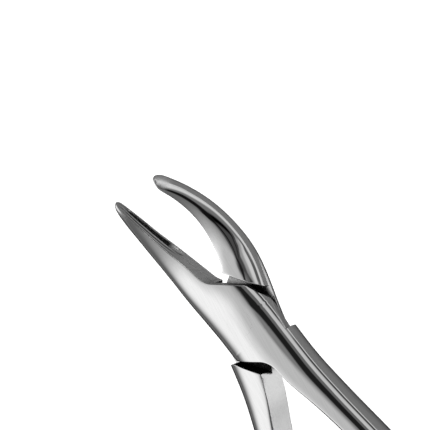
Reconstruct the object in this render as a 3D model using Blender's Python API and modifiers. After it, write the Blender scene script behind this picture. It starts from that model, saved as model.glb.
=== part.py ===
"""Dental extraction forceps: two forged halves that cross at a riveted lap joint.

Lengths are in metres. The hinge is the world Z axis, +Y points to the beaks, and the
underside of the joint rests on z = 0. Each half is drawn as it lies when the forceps are
closed: the front half has its beak at -X, its handle at +X and its joint plate on top.
The rear half is its mirror image with the plate underneath. Both are then turned about the
hinge by half the rest opening.
"""
import math

import bmesh
import bpy
from mathutils import Vector

# Joint
JOINT_WIDTH = 0.0150
JOINT_THICKNESS = 0.0090
REST_FLAT_DEPTH = 0.0001
PLATE_BEAK_REACH = 0.0078
PLATE_BEAK_ANGLE = math.radians(41.0)
PLATE_HANDLE_REACH = 0.0081
PLATE_HANDLE_ANGLE = math.radians(37.0)
PLATE_CORNER = 0.0063
PLATE_SIDE_INSET = 0.0007
SHOULDER_CLEARANCE = 0.0009
SHOULDER_CORNER = 0.0056
LAP_CLEARANCE = 0.0003
REST_OPENING = math.radians(17.0)

# Rivet
RIVET_DIAMETER = 0.0046
RIVET_HEAD_DIAMETER = 0.0058
RIVET_HEAD_DEPTH = 0.0012
RIVET_CLEARANCE = 0.00008

# Beaks, with lengths measured along the curve from the hinge
BEAK_LENGTH = 0.0385
BEAK_BEND_START = 0.0061
BEAK_BEND_ANGLE = math.radians(57.0)
BEAK_BOW = 0.00185
BEAK_BOW_SKEW = 1.35
BEAK_TIP_GAP = 0.0004
BEAK_ROOT_RADIUS = 0.0045
BEAK_NECK_WIDTH = 0.0070
BEAK_ROOT_WIDTH = 0.0057
BEAK_MIDDLE_WIDTH = 0.00325
BEAK_TIP_WIDTH = 0.0018
BEAK_TIP_TAPER = 0.0065
BEAK_TIP_BLUNTNESS = 0.3
BEAK_NECK_THICKNESS = 0.0072
BEAK_ROOT_THICKNESS = 0.0057
BEAK_MIDDLE_THICKNESS = 0.0044
BEAK_TIP_THICKNESS = 0.0034
BEAK_TIP_ROUND = 0.0030
HOLLOW_LENGTH = 0.0180
HOLLOW_DEPTH = 0.0007
HOLLOW_RIM = 0.0006

# Handles
HANDLE_LENGTH = 0.1410
HANDLE_ROOT_RADIUS = 0.0050
HANDLE_SPREAD_START = 0.00025
HANDLE_SPREAD_THROAT = 0.0023
HANDLE_SPREAD_NECK = 0.0043
HANDLE_SPREAD_GRIP = 0.0112
HANDLE_SPREAD_END = 0.0112
HANDLE_START_WIDTH = 0.0072
HANDLE_THROAT_WIDTH = 0.00595
HANDLE_NECK_WIDTH = 0.0054
HANDLE_GRIP_WIDTH = 0.0054
HANDLE_END_WIDTH = 0.0046
HANDLE_START_THICKNESS = 0.0088
HANDLE_NECK_THICKNESS = 0.0087
HANDLE_GRIP_THICKNESS = 0.0102
HANDLE_END_THICKNESS = 0.0092
HANDLE_ARCH = 0.0014
HANDLE_END_ROUND = 0.0050
GRIP_LENGTH = 0.0660
GRIP_END_MARGIN = 0.0150
GRIP_RIB_PITCH = 0.0022
GRIP_RIB_DEPTH = 0.00035

# Where the widths and thicknesses apply, as shares of the beak's or the handle's length
BEAK_NECK_SHARE = 0.28
BEAK_ROOT_SHARE = 0.45
BEAK_MIDDLE_SHARE = 0.74
BEAK_TIP_SHARE = 0.92
HANDLE_START_SHARE = 0.097
HANDLE_THROAT_SHARE = 0.165
HANDLE_NECK_SHARE = 0.245
HANDLE_GRIP_SHARE = 0.62
HANDLE_END_SHARE = 0.95

# Section shape and mesh steps
SECTION_POWER = 2.4
SECTION_POINTS = 32
BEAK_STEP = 0.0013
HANDLE_STEP = 0.0040
END_STEPS = 5
END_CAP_SHARE = 0.004
HOLLOW_CAP_SHARE = 0.01
ARC_STEPS = 8
TURN_STEPS = 48
SEARCH_STEPS = 40
SHARP_ANGLE = math.radians(30.0)
CUT_OVERRUN = 0.001
WELD = 1e-6
FAR = 0.060

# Finish
STEEL_COLOUR = (0.58, 0.58, 0.58)
STEEL_ROUGHNESS = 0.22

HINGE_HEIGHT = JOINT_THICKNESS / 2 - REST_FLAT_DEPTH


def smooth_curve(stations):
    """A cubic curve through (position, value) stations, level beyond the two ends."""
    stations = sorted(stations)
    count = len(stations)

    def slope(index):
        before = stations[max(index - 1, 0)]
        after = stations[min(index + 1, count - 1)]
        return (after[1] - before[1]) / (after[0] - before[0])

    def value(position):
        if position <= stations[0][0]:
            return stations[0][1]
        if position >= stations[-1][0]:
            return stations[-1][1]
        index = max(i for i in range(count - 1) if stations[i][0] <= position)
        (low, low_value), (high, high_value) = stations[index], stations[index + 1]
        span = high - low
        t = (position - low) / span
        return ((1 + 2 * t) * (1 - t) ** 2 * low_value + t * (1 - t) ** 2 * span * slope(index)
                + t * t * (3 - 2 * t) * high_value - t * t * (1 - t) * span * slope(index + 1))

    return value


def end_round(distance_to_end, radius):
    """How much of a section is left near a rounded end: 0 at the end, 1 past the radius."""
    if distance_to_end >= radius:
        return 1.0
    inset = 1 - max(distance_to_end, 0.0) / radius
    return math.sqrt(max(1 - inset * inset, 0.0))


# Stations run along a half from the hinge, positive to the beak tip, negative to the handle end.
BEAK_NECK = BEAK_LENGTH * BEAK_NECK_SHARE
BEAK_ROOT = BEAK_LENGTH * BEAK_ROOT_SHARE
BEAK_MIDDLE = BEAK_LENGTH * BEAK_MIDDLE_SHARE
BEAK_TIP = BEAK_LENGTH * BEAK_TIP_SHARE
HANDLE_START = -HANDLE_LENGTH * HANDLE_START_SHARE
HANDLE_THROAT = -HANDLE_LENGTH * HANDLE_THROAT_SHARE
HANDLE_NECK = -HANDLE_LENGTH * HANDLE_NECK_SHARE
HANDLE_GRIP = -HANDLE_LENGTH * HANDLE_GRIP_SHARE
HANDLE_END = -HANDLE_LENGTH * HANDLE_END_SHARE
HANDLE_END_RISE = HANDLE_END_THICKNESS / 2 - HINGE_HEIGHT
GRIP_START = HANDLE_LENGTH - GRIP_END_MARGIN - GRIP_LENGTH

half_width = smooth_curve([
    (HANDLE_END, HANDLE_END_WIDTH),
    (HANDLE_GRIP, HANDLE_GRIP_WIDTH),
    (HANDLE_NECK, HANDLE_NECK_WIDTH),
    (HANDLE_THROAT, HANDLE_THROAT_WIDTH),
    (HANDLE_START, HANDLE_START_WIDTH),
    (0.0, JOINT_WIDTH / 2),
    (BEAK_NECK, BEAK_NECK_WIDTH),
    (BEAK_ROOT, BEAK_ROOT_WIDTH),
    (BEAK_MIDDLE, BEAK_MIDDLE_WIDTH),
    (BEAK_TIP, BEAK_TIP_WIDTH),
])
half_thickness = smooth_curve([
    (HANDLE_END, HANDLE_END_THICKNESS / 2),
    (HANDLE_GRIP, HANDLE_GRIP_THICKNESS / 2),
    (HANDLE_NECK, HANDLE_NECK_THICKNESS / 2),
    (HANDLE_START, HANDLE_START_THICKNESS / 2),
    (0.0, JOINT_THICKNESS / 2),
    (BEAK_NECK, BEAK_NECK_THICKNESS / 2),
    (BEAK_ROOT, BEAK_ROOT_THICKNESS / 2),
    (BEAK_MIDDLE, BEAK_MIDDLE_THICKNESS / 2),
    (BEAK_TIP, BEAK_TIP_THICKNESS / 2),
])
handle_spread = smooth_curve([
    (-HANDLE_LENGTH, HANDLE_SPREAD_END),
    (HANDLE_GRIP, HANDLE_SPREAD_GRIP),
    (HANDLE_NECK, HANDLE_SPREAD_NECK),
    (HANDLE_THROAT, HANDLE_SPREAD_THROAT),
    (HANDLE_START, HANDLE_SPREAD_START),
    (0.0, 0.0),
])
handle_rise = smooth_curve([
    (-HANDLE_LENGTH, HANDLE_END_RISE),
    (HANDLE_END, HANDLE_END_RISE),
    (HANDLE_GRIP, HANDLE_ARCH),
    (HANDLE_START, 0.0),
    (0.0, 0.0),
])


def inner_face(station):
    """Sideways place of the flat inner face when the forceps are closed."""
    if station < 0:
        return handle_spread(station)
    along = min(station / BEAK_LENGTH, 1.0)
    return -BEAK_TIP_GAP / 2 * along - BEAK_BOW * math.sin(math.pi * along ** BEAK_BOW_SKEW)


def spine(station):
    """The centre line's forward and upward place, and its upward angle."""
    if station <= 0:
        return station, handle_rise(station), 0.0
    bend_radius = (BEAK_LENGTH - BEAK_BEND_START) / BEAK_BEND_ANGLE
    angle = max(station - BEAK_BEND_START, 0.0) / bend_radius
    forward = min(station, BEAK_BEND_START) + bend_radius * math.sin(angle)
    return forward, bend_radius * (1 - math.cos(angle)), angle


def section_ring(station, centre, width, thickness):
    """Points of a rounded section, square to the centre line."""
    forward, up, angle = spine(station)
    ring = []
    for index in range(SECTION_POINTS):
        turn = 2 * math.pi * (index + 0.5) / SECTION_POINTS
        across = math.copysign(abs(math.cos(turn)) ** (2 / SECTION_POWER), math.cos(turn)) * width
        over = math.copysign(abs(math.sin(turn)) ** (2 / SECTION_POWER), math.sin(turn)) * thickness
        ring.append(Vector((centre + across, forward - math.sin(angle) * over, up + math.cos(angle) * over)))
    return ring


def new_object(name, mesh, collection):
    made = bpy.data.objects.new(name, mesh)
    collection.objects.link(made)
    return made


def loft(name, rings, mirror, collection):
    """A closed solid through rings of equal count, mirrored across the midline if asked."""
    shape = bmesh.new()
    rows = []
    for ring in rings:
        rows.append([shape.verts.new((mirror * point.x, point.y, point.z)) for point in ring])
    for low, high in zip(rows, rows[1:]):
        for index in range(len(low)):
            following = (index + 1) % len(low)
            shape.faces.new((low[index], low[following], high[following], high[index]))
    shape.faces.new(rows[0])
    shape.faces.new(rows[-1])
    bmesh.ops.recalc_face_normals(shape, faces=shape.faces)
    mesh = bpy.data.meshes.new(name)
    shape.to_mesh(mesh)
    shape.free()
    return new_object(name, mesh, collection)


def as_mesh(source, collection):
    """Replaces a curve object with its mesh, its caps welded on."""
    evaluated = source.evaluated_get(bpy.context.evaluated_depsgraph_get())
    mesh = bpy.data.meshes.new_from_object(evaluated)
    shape = bmesh.new()
    shape.from_mesh(mesh)
    bmesh.ops.remove_doubles(shape, verts=shape.verts, dist=WELD)
    bmesh.ops.recalc_face_normals(shape, faces=shape.faces)
    shape.to_mesh(mesh)
    shape.free()
    made = new_object(source.name + "_mesh", mesh, collection)
    made.matrix_world = source.matrix_world
    bpy.data.objects.remove(source)
    return made


def prism(name, outline, low, high, mirror, collection):
    """A flat outline extruded between two heights."""
    curve = bpy.data.curves.new(name, "CURVE")
    curve.dimensions = "2D"
    curve.fill_mode = "BOTH"
    curve.extrude = (high - low) / 2
    spline = curve.splines.new("POLY")
    spline.points.add(len(outline) - 1)
    for point, place in zip(spline.points, outline):
        point.co = (mirror * place.x, place.y, 0.0, 1.0)
    spline.use_cyclic_u = True
    drawn = new_object(name, curve, collection)
    drawn.location.z = (high + low) / 2
    bpy.context.view_layer.update()
    return as_mesh(drawn, collection)


def turned(name, profile, collection):
    """A profile of (radius, height) points, from the top axis point down, spun about Z."""
    mesh = bpy.data.meshes.new(name)
    points = [(radius, 0.0, height) for radius, height in profile]
    mesh.from_pydata(points, [(i, i + 1) for i in range(len(points) - 1)], [])
    made = new_object(name, mesh, collection)
    spin = made.modifiers.new("turn", "SCREW")
    spin.steps = TURN_STEPS
    spin.render_steps = TURN_STEPS
    spin.use_merge_vertices = True
    spin.merge_threshold = WELD
    return made


def cut(target, cutter, operation="DIFFERENCE"):
    """Adds a Boolean to the target, with the cutter riding on it and hidden."""
    cutter.parent = target
    cutter.hide_render = True
    cutter.display_type = "WIRE"
    boolean = target.modifiers.new(cutter.name, "BOOLEAN")
    boolean.object = cutter
    boolean.operation = operation
    boolean.solver = "EXACT"


def arc(centre, radius, start, end):
    angles = [start + (end - start) * i / ARC_STEPS for i in range(ARC_STEPS + 1)]
    return [centre + radius * Vector((math.cos(a), math.sin(a))) for a in angles]


def slanted(angle):
    """The outward direction of a plate end that is slanted by this angle."""
    return Vector((math.sin(angle), math.cos(angle)))


def inner_outline(direction, reach, angle, root_radius, length, step):
    """What is cut away beside the beak (direction 1) or beside the handle (direction -1).

    The outline runs along the plate's slanted end, through a root fillet, and along the inner face.
    It is drawn for the beak; the handle's is the same figure turned half round.
    """
    normal = slanted(angle)

    def face_point(along):
        station = direction * along
        return direction * Vector((inner_face(station), spine(station)[0]))

    def fillet(along):
        run = face_point(along + step / 2) - face_point(along - step / 2)
        side = Vector((run.y, -run.x)).normalized()
        return face_point(along) + root_radius * side, math.atan2(-side.y, -side.x) % (2 * math.pi)

    low, high = reach / 2, reach * 4
    for _ in range(SEARCH_STEPS):
        middle = (low + high) / 2
        if fillet(middle)[0].dot(normal) < reach + root_radius:
            low = middle
        else:
            high = middle
    centre, face_angle = fillet(high)
    outline = [Vector((FAR, (reach - FAR * normal.x) / normal.y))]
    outline += arc(centre, root_radius, 3 * math.pi / 2 - angle, face_angle)
    count = math.ceil((length - high) / step)
    outline += [face_point(high + (length - high) * i / count) for i in range(1, count + 1)]
    outline.append(Vector((outline[-1].x, outline[-1].y + FAR)))
    outline.append(Vector((FAR, outline[-1].y)))
    return [direction * point for point in outline]


def handle_shoulder_level():
    """How far forward the outer, square part of the handle's shoulder lies."""
    normal = slanted(-PLATE_HANDLE_ANGLE)
    return (-PLATE_HANDLE_REACH - SHOULDER_CLEARANCE - SHOULDER_CORNER * normal.x) / normal.y


def plate_side_outline():
    """What is cut from the plate's outer side, so that it turns past the other half's shoulder."""
    normal = slanted(PLATE_BEAK_ANGLE)
    corner = Vector((PLATE_CORNER, (PLATE_BEAK_REACH - PLATE_CORNER * normal.x) / normal.y))
    waist = Vector((JOINT_WIDTH / 2, 0.0))
    past_corner = corner + (corner - waist) / 2
    level = handle_shoulder_level()
    step = Vector((JOINT_WIDTH / 2 - PLATE_SIDE_INSET, level))
    return [past_corner, waist, step, Vector((FAR, level)), Vector((FAR, past_corner.y))]


def lap_outline():
    """The band across the joint that the other half's plate turns in."""
    beak_reach = PLATE_BEAK_REACH + SHOULDER_CLEARANCE
    handle_reach = -PLATE_HANDLE_REACH - SHOULDER_CLEARANCE

    def shoulder(x, reach, angle):
        normal = slanted(-angle)
        return Vector((x, (reach - x * normal.x) / normal.y))

    level = handle_shoulder_level()
    return [
        shoulder(-FAR, beak_reach, PLATE_BEAK_ANGLE),
        shoulder(FAR, beak_reach, PLATE_BEAK_ANGLE),
        Vector((FAR, level)),
        Vector((SHOULDER_CORNER, level)),
        shoulder(-FAR, handle_reach, PLATE_HANDLE_ANGLE),
    ]


def rounding(radius):
    """Distances from a rounded end for its rings, from the last ring inwards."""
    rings = [radius * (1 - math.cos(math.pi / 2 * i / END_STEPS)) for i in range(1, END_STEPS + 1)]
    return [radius * END_CAP_SHARE] + rings


def steps_between(start, end, step):
    """Stations from just after the start up to the end, in equal steps."""
    count = math.ceil(abs(end - start) / step)
    return [start + (end - start) * i / count for i in range(1, count + 1)]


def half_stations():
    """Stations of the forging's rings, with a crest and a root for each grip rib."""
    grip_end = GRIP_START + GRIP_RIB_PITCH * math.floor(GRIP_LENGTH / GRIP_RIB_PITCH)
    stations = [BEAK_LENGTH - inset for inset in rounding(BEAK_TIP_ROUND)]
    stations += steps_between(stations[-1], 0.0, BEAK_STEP)
    stations += steps_between(0.0, -GRIP_START, HANDLE_STEP)
    stations += steps_between(-GRIP_START, -grip_end, GRIP_RIB_PITCH / 2)
    stations += steps_between(-grip_end, -HANDLE_LENGTH + HANDLE_END_ROUND, HANDLE_STEP)
    return stations + [-HANDLE_LENGTH + inset for inset in rounding(HANDLE_END_ROUND)[-2::-1]]


def rib_depth(station):
    """Depth of the grip's cross grooves, full at every second half pitch."""
    steps = round((-station - GRIP_START) / (GRIP_RIB_PITCH / 2))
    on_grip = 0 < steps < 2 * math.floor(GRIP_LENGTH / GRIP_RIB_PITCH)
    on_step = abs(-station - GRIP_START - steps * GRIP_RIB_PITCH / 2) < WELD
    return GRIP_RIB_DEPTH if on_grip and on_step and steps % 2 else 0.0


def half_ring(station):
    tip = end_round(BEAK_LENGTH - station, BEAK_TIP_ROUND)
    end = end_round(HANDLE_LENGTH + station, HANDLE_END_ROUND)
    taper = end_round(BEAK_LENGTH - station, BEAK_TIP_TAPER)
    taper = BEAK_TIP_BLUNTNESS + (1 - BEAK_TIP_BLUNTNESS) * taper
    width = (half_width(station) - rib_depth(station)) * end * taper
    return section_ring(station, inner_face(station), width, half_thickness(station) * tip * end)


def hollow_rings():
    """The spoon-shaped hollow of a beak's inner face, deepest in the middle."""
    rings = []
    count = math.ceil(HOLLOW_LENGTH / BEAK_STEP)
    for i in range(count + 1):
        share = HOLLOW_CAP_SHARE + (1 - 2 * HOLLOW_CAP_SHARE) * i / count
        station = BEAK_LENGTH - HOLLOW_RIM - HOLLOW_LENGTH * share
        swell = math.sqrt(1 - (2 * share - 1) ** 2)
        rim_height = half_thickness(station) * end_round(BEAK_LENGTH - station, BEAK_TIP_ROUND)
        height = max(rim_height - HOLLOW_RIM, HOLLOW_RIM / 2) * math.sqrt(swell)
        rings.append(section_ring(station, inner_face(station), HOLLOW_DEPTH * swell, height))
    return rings


def rivet_profile(clearance, bottom):
    """A countersunk rivet down to this bottom, or with a clearance the bore for it."""
    head = RIVET_HEAD_DIAMETER / 2 + clearance
    shank = RIVET_DIAMETER / 2 + clearance
    slope = (head - shank) / RIVET_HEAD_DEPTH
    edge = JOINT_THICKNESS / 2
    neck = edge - RIVET_HEAD_DEPTH
    top = edge + CUT_OVERRUN
    return [
        (0.0, top),
        (shank + (top - neck) * slope, top),
        (shank, neck),
        (shank, -neck),
        (shank + (-bottom - neck) * slope, bottom),
        (0.0, bottom),
    ]


def steel(name):
    material = bpy.data.materials.new(name)
    material.use_nodes = True
    shader = material.node_tree.nodes["Principled BSDF"]
    shader.inputs["Base Color"].default_value = (*STEEL_COLOUR, 1.0)
    shader.inputs["Metallic"].default_value = 1.0
    shader.inputs["Roughness"].default_value = STEEL_ROUGHNESS
    return material


def finish(made):
    made.data.materials.append(steel(made.name + "_steel"))
    made.data.shade_smooth()
    made.data.set_sharp_from_angle(angle=SHARP_ANGLE)


def make_half(name, side, hinge, parts, cutters):
    """One forging. Side 1 is the front half, side -1 the rear half."""
    made = loft(name, [half_ring(station) for station in half_stations()], side, parts)
    made.parent = hinge
    made.rotation_euler.z = side * REST_OPENING / 2
    beside_beak = inner_outline(
        1, PLATE_BEAK_REACH, PLATE_BEAK_ANGLE, BEAK_ROOT_RADIUS, BEAK_LENGTH, BEAK_STEP)
    beside_handle = inner_outline(
        -1, PLATE_HANDLE_REACH, PLATE_HANDLE_ANGLE, HANDLE_ROOT_RADIUS, HANDLE_LENGTH, HANDLE_STEP)
    lap_heights = (-FAR, LAP_CLEARANCE / 2) if side > 0 else (-LAP_CLEARANCE / 2, FAR)
    bore = rivet_profile(RIVET_CLEARANCE, -JOINT_THICKNESS / 2 - CUT_OVERRUN)
    cut(made, prism(name + "_beside_beak", beside_beak, -FAR, FAR, side, cutters))
    cut(made, prism(name + "_beside_handle", beside_handle, -FAR, FAR, side, cutters))
    cut(made, prism(name + "_plate_side", plate_side_outline(), -FAR, FAR, side, cutters))
    cut(made, loft(name + "_hollow", hollow_rings(), side, cutters))
    cut(made, prism(name + "_lap", lap_outline(), *lap_heights, side, cutters))
    cut(made, turned(name + "_bore", bore, cutters))
    if side < 0:
        ground = [Vector((x * FAR, y * JOINT_WIDTH)) for x, y in ((-1, -1), (1, -1), (1, 1), (-1, 1))]
        cut(made, prism(name + "_rest_flat", ground, -FAR, -HINGE_HEIGHT, 1, cutters))
    finish(made)


def make_rivet(hinge, parts, cutters):
    """The flush rivet, its front end ground to the round of the front cheek."""
    made = turned("pivot_rivet", rivet_profile(0.0, -HINGE_HEIGHT), parts)
    made.parent = hinge
    made.rotation_euler.z = REST_OPENING / 2
    cheek = loft("rivet_cheek", [half_ring(station) for station in half_stations()], 1, cutters)
    cut(made, cheek, "INTERSECT")
    finish(made)


def main():
    for old in list(bpy.data.objects):
        bpy.data.objects.remove(old)
    parts = bpy.data.collections.new("extraction_forceps")
    cutters = bpy.data.collections.new("cutters")
    for collection in (parts, cutters):
        bpy.context.scene.collection.children.link(collection)
    hinge = new_object("hinge_axis", None, parts)
    hinge.location.z = HINGE_HEIGHT
    make_half("front_half", 1, hinge, parts, cutters)
    make_half("rear_half", -1, hinge, parts, cutters)
    make_rivet(hinge, parts, cutters)
    bpy.context.view_layer.update()


main()
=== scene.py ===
"""Looks of the extraction forceps: forged, ground and polished steel over a plain pale floor.

Shapes are worked out in millimetres in the frame of a closed half: +Y to the beaks, the flat
inner face near x = 0, and z = 0 on the lap plane. The front half has its beak at -X and its joint
plate above the lap plane. The rear half is mirrored in x and has its plate below.
"""
import math

import bmesh
import bpy
import numpy as np
from mathutils import Matrix, Vector


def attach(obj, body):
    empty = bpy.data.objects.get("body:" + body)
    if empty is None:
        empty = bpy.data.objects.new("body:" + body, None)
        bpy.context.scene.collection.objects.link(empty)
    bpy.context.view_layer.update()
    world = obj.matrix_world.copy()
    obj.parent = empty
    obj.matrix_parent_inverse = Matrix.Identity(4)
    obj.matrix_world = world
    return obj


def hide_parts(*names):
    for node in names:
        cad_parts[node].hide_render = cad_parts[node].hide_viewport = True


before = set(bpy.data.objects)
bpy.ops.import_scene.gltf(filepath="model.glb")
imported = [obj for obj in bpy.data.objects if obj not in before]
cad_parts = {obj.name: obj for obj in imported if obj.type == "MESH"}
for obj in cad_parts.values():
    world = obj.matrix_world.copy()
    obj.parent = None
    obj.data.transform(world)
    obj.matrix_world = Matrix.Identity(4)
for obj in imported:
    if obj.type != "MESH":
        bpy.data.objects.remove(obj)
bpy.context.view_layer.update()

MM = 0.001
HINGE_HEIGHT = 4.4
HALF_OPENING = math.radians(8.5)

# Joint, in millimetres
JOINT_WIDTH = 15.0
JOINT_THICKNESS = 9.0
PLATE_BEAK_REACH = 7.8
PLATE_BEAK_ANGLE = math.radians(41.0)
PLATE_HANDLE_REACH = 8.1
PLATE_HANDLE_ANGLE = math.radians(37.0)
PLATE_CORNER = 6.3
PLATE_SIDE_INSET = 0.7
SHOULDER_CLEARANCE = 0.9
SHOULDER_CORNER = 5.6
LAP = 0.15
LAP_SHARE = 0.3
JOINT_REACH = 14.5
RIVET_RADIUS = 2.3
RIVET_HEAD_RADIUS = 2.9
RIVET_HEAD_DEPTH = 1.2
RIVET_GAP = 0.01

# Beaks
BEAK_LENGTH = 38.5
BEND_START = 6.1
BEND_EASE = 9.0
BEND_ANGLE = math.radians(57.0)
BEAK_BOW = 1.85
BEAK_BOW_SKEW = 1.35
BEAK_TIP_GAP = 0.4
BEAK_ROOT_RADIUS = 4.5
BEAK_TIP_ROUND = 2.4
BEAK_TIP_TAPER = 7.0
BEAK_TIP_SHIFT = 0.28
BEAK_TIP_BLUNTNESS = 0.08
BEAK_DRAFT = {1: 0.0, -1: 0.16}  # by layer: the front half's beak and the rear half's

# Spoon hollows of the beaks' inner faces, with lip lines above them; painted shade darkens the far wall and
# the lines between the lips, painted highlight lightens the lip lines
HOLLOW_LENGTH = 16.0
HOLLOW_DEPTH = 0.95
HOLLOW_RIM = 2.6
HOLLOW_SKEW = 1.5
HOLLOW_TOP = 0.10
HOLLOW_BOTTOM = -0.96
HOLLOW_EASE = 0.2
# painted shade on the hollow's far wall and between the lip lines
HOLLOW_SHADE_DEPTH = 0.15
RIPPLE_DEPTH = 0.02
RIPPLE_STEP = 0.16
LIP_HEIGHT = 0.04
LIP_STEP = 1.1
LIP_START = 0.2
LIP_WIDTH = 1.85
LIP_SHADE = 0.55
LIP_SATIN = 0.7

# Handles
HANDLE_LENGTH = 141.0
HANDLE_ROOT_RADIUS = 5.0
HANDLE_END_ROUND = 5.0
GRIP_START = 60.0
GRIP_END = 126.0
GRIP_PITCH = 2.2
GRIP_DEPTH = 0.35

# Finish with painted shade and painted highlight: where it starts or ends along a half, and how strong it
# is
SATIN_END = 23.0
TIP_SATIN_START = 34.5
TIP_SATIN = 0.8
HANDLE_SATIN_START = -13.0
HANDLE_SATIN = 0.4
# worn edges lightened: partly wear, partly painted highlight
WEAR_HIGHLIGHT_START = -15.0
WEAR_HIGHLIGHT_END = 29.0
# painted shade lines along the handles' edges, from here towards the handle's end
EDGE_SHADE_START = -16.0
UNDER_EDGE_SHADE = 0.6
# painted shade in the recess along the handle's root
ROOT_SHADE_END = -11.2
ROOT_SHADE_SLANT = 0.9
ROOT_SHADE_HEIGHT = 0.95

SECTION_POWER = 2.4
TIP_POWER = 2.0
JOINT_EDGE_RADIUS = 0.16
BEAK_EDGE_RADIUS = 0.2
HANDLE_EDGE_RADIUS = 0.45
TABLE_STEP = 0.1
STATIONS = np.arange(-150.0, 46.0, TABLE_STEP)


# Curves along a half
def soften(values, reach):
    """Smooths a table of values with a Gaussian, so that reflections run on without a kink."""
    count = int(4 * reach / TABLE_STEP)
    offsets = np.arange(-count, count + 1) * TABLE_STEP
    kernel = np.exp(-0.5 * (offsets / reach) ** 2)
    return np.convolve(np.pad(values, count, "edge"), kernel / kernel.sum(), "valid")


def table(points):
    """A cubic curve through (station, value) points, as a table over STATIONS."""
    points = np.array(sorted(points), float)
    place, value = points.T
    slope = np.empty(len(place))
    slope[1:-1] = (value[2:] - value[:-2]) / (place[2:] - place[:-2])
    slope[0] = (value[1] - value[0]) / (place[1] - place[0])
    slope[-1] = (value[-1] - value[-2]) / (place[-1] - place[-2])
    index = np.clip(np.searchsorted(place, STATIONS) - 1, 0, len(place) - 2)
    span = place[index + 1] - place[index]
    t = np.clip((STATIONS - place[index]) / span, 0, 1)
    return ((1 + 2 * t) * (1 - t) ** 2 * value[index] + t * (1 - t) ** 2 * span * slope[index]
            + t * t * (3 - 2 * t) * value[index + 1] - t * t * (1 - t) * span * slope[index + 1])


def smoothstep(value):
    value = np.clip(value, 0, 1)
    return value * value * (3 - 2 * value)


def end_round(distance, radius):
    """How much of a section is left near a rounded end: 0 at the end, 1 past the radius."""
    inset = 1 - np.clip(distance / radius, 0, 1)
    return np.sqrt(np.maximum(1 - inset * inset, 1e-6))


# Half widths and half thicknesses, the inner face's distance from the middle and the handles' rise
WIDTHS = soften(table([
    (-134, 4.6), (-87.4, 5.4), (-34.5, 5.4), (-23.3, 5.95), (-13.7, 7.2), (0, 7.5),
    (10.8, 7.0), (17.3, 5.7), (28.5, 3.3), (35.4, 2.05),
]), 2.0)
THICKNESSES = soften(table([
    (-134, 4.6), (-87.4, 5.1), (-34.5, 4.35), (-13.7, 4.4), (0, 4.5),
    (10.8, 3.6), (17.3, 2.85), (28.5, 2.28), (35.4, 1.95),
]), 2.0)
BEAK_ALONG = np.clip(STATIONS / BEAK_LENGTH, 0, 1)
BEAK_INNER = -BEAK_TIP_GAP / 2 * BEAK_ALONG - BEAK_BOW * np.sin(np.pi * BEAK_ALONG ** BEAK_BOW_SKEW)
HANDLE_INNER = table([(-141, 11.2), (-87.4, 11.2), (-34.5, 4.3), (-23.3, 2.3), (-13.7, 0.25), (0, 0)])
INNER = soften(np.where(STATIONS > 0, BEAK_INNER, HANDLE_INNER), 1.5)
RISES = soften(table([(-141, 0.2), (-134, 0.2), (-87.4, 1.4), (-13.7, 0), (0, 0)]), 2.0)
BEND_SHARES = smoothstep((STATIONS - BEND_START) / BEND_EASE + 0.5)
BENDS = np.cumsum(BEND_SHARES * BEND_ANGLE / (BEAK_LENGTH - BEND_START)) * TABLE_STEP
SPINE_Y = np.cumsum(np.cos(BENDS)) * TABLE_STEP
SPINE_Y -= np.interp(0.0, STATIONS, SPINE_Y)
SPINE_Z = np.cumsum(np.sin(BENDS)) * TABLE_STEP + RISES


def look_up(values, station):
    return np.interp(station, STATIONS, values)


def half_width(station):
    taper = end_round(BEAK_LENGTH - station, BEAK_TIP_TAPER)
    taper = BEAK_TIP_BLUNTNESS + (1 - BEAK_TIP_BLUNTNESS) * taper
    return look_up(WIDTHS, station) * taper * end_round(HANDLE_LENGTH + station, HANDLE_END_ROUND)


def half_thickness(station):
    tip = end_round(BEAK_LENGTH - station, BEAK_TIP_ROUND)
    end = end_round(HANDLE_LENGTH + station, HANDLE_END_ROUND)
    return look_up(THICKNESSES, station) * (tip * end)


def local(y, z):
    """Station along the centre line and height over it, of points in the plane of the bend."""
    station = np.array(y, float)
    for _ in range(8):
        bend = look_up(BENDS, station)
        ahead = y - look_up(SPINE_Y, station)
        above = z - look_up(SPINE_Z, station)
        run = ahead * np.cos(bend) + above * np.sin(bend)
        station = station + np.where(station > 0, run, ahead)
    bend = look_up(BENDS, station)
    ahead = y - look_up(SPINE_Y, station)
    above = z - look_up(SPINE_Z, station)
    return station, above * np.cos(bend) - ahead * np.sin(bend)


def fullness(x, y, z, draft=0.0):
    """1 on the forging's rounded outer surface, less inside, more outside."""
    station, height = local(y, z)
    lean = 1 - draft * smoothstep((station - 8) / 10) * height / look_up(WIDTHS, station)
    across = np.abs(x - look_up(INNER, station)) / half_width(station) / lean
    over = np.abs(height) / half_thickness(station)
    power = np.interp(station, [16, 32], [SECTION_POWER, TIP_POWER])
    return (across ** power + over ** power) ** (1 / power)


# Plan outlines of the joint
def root_outline(direction, reach, angle, radius, length):
    """The plate's slanted end, its root fillet and the inner face, as plan points.

    It is drawn for the beak (direction 1); the handle's (direction -1) is the figure turned half round.
    """
    normal = np.array((math.sin(angle), math.cos(angle)))

    def face_point(along):
        station = direction * along
        return direction * np.array((look_up(INNER, station), look_up(SPINE_Y, station)))

    def fillet(along):
        run = face_point(along + 0.5) - face_point(along - 0.5)
        side = np.array((run[1], -run[0])) / math.hypot(*run)
        return face_point(along) + radius * side, math.atan2(-side[1], -side[0]) % (2 * math.pi)

    low = reach / 2
    high = reach * 4
    for _ in range(40):
        middle = (low + high) / 2
        if fillet(middle)[0] @ normal < reach + radius:
            low = middle
        else:
            high = middle
    centre, face_angle = fillet(high)
    start_angle = 1.5 * math.pi - angle
    outline = [np.array((20.0, (reach - 20.0 * normal[0]) / normal[1]))]
    for share in np.linspace(0, 1, 33):
        turn = start_angle + (face_angle - start_angle) * share
        outline.append(centre + radius * np.array((math.cos(turn), math.sin(turn))))
    outline += [face_point(along) for along in np.arange(high + 0.1, length, 0.1)]
    return direction * np.array(outline)


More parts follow.
